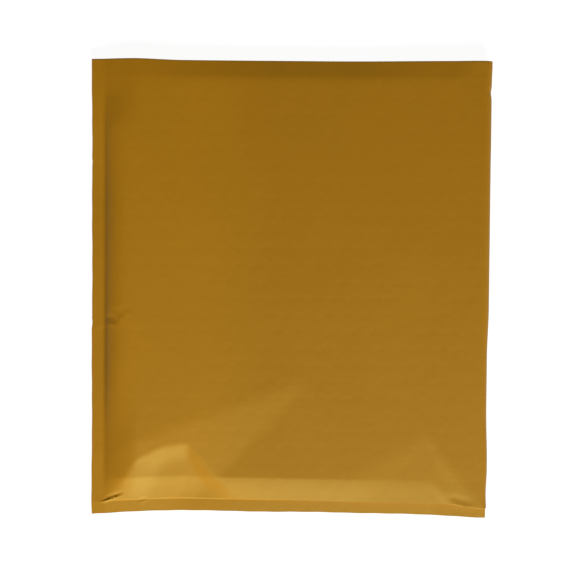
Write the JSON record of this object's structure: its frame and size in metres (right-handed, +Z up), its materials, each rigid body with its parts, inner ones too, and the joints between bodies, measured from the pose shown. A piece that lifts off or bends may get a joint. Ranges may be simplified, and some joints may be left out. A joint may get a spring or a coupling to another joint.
{
  "type": "padded envelope",
  "caption": "Flat padded mailing envelope of brown paper lined with air-bubble film, with its gummed flap folded back behind it.",
  "frame": {"origin": "centre of the envelope's underside, at the level of the surface that it lies on", "axes": "+X across the width, from the sealed seam to the folded side; +Y up the height, from the bottom seam to the flap's crease; +Z up through the front panel"},
  "size_m": [0.24, 0.275, 0.0108],
  "materials": {
    "brown_paper": "smooth machine-glazed brown paper, faint fibres",
    "bubble_film": "clear polyethylene film",
    "glue": "glossy hot-melt glue",
    "release_paper": "satin silicone-coated paper"
  },
  "bodies": {
    "root": {"paper_envelope": "brown_paper", "bubble_liner": "bubble_film", "adhesive_strip": "glue", "release_strip": "release_paper"}
  },
  "joints": []
}
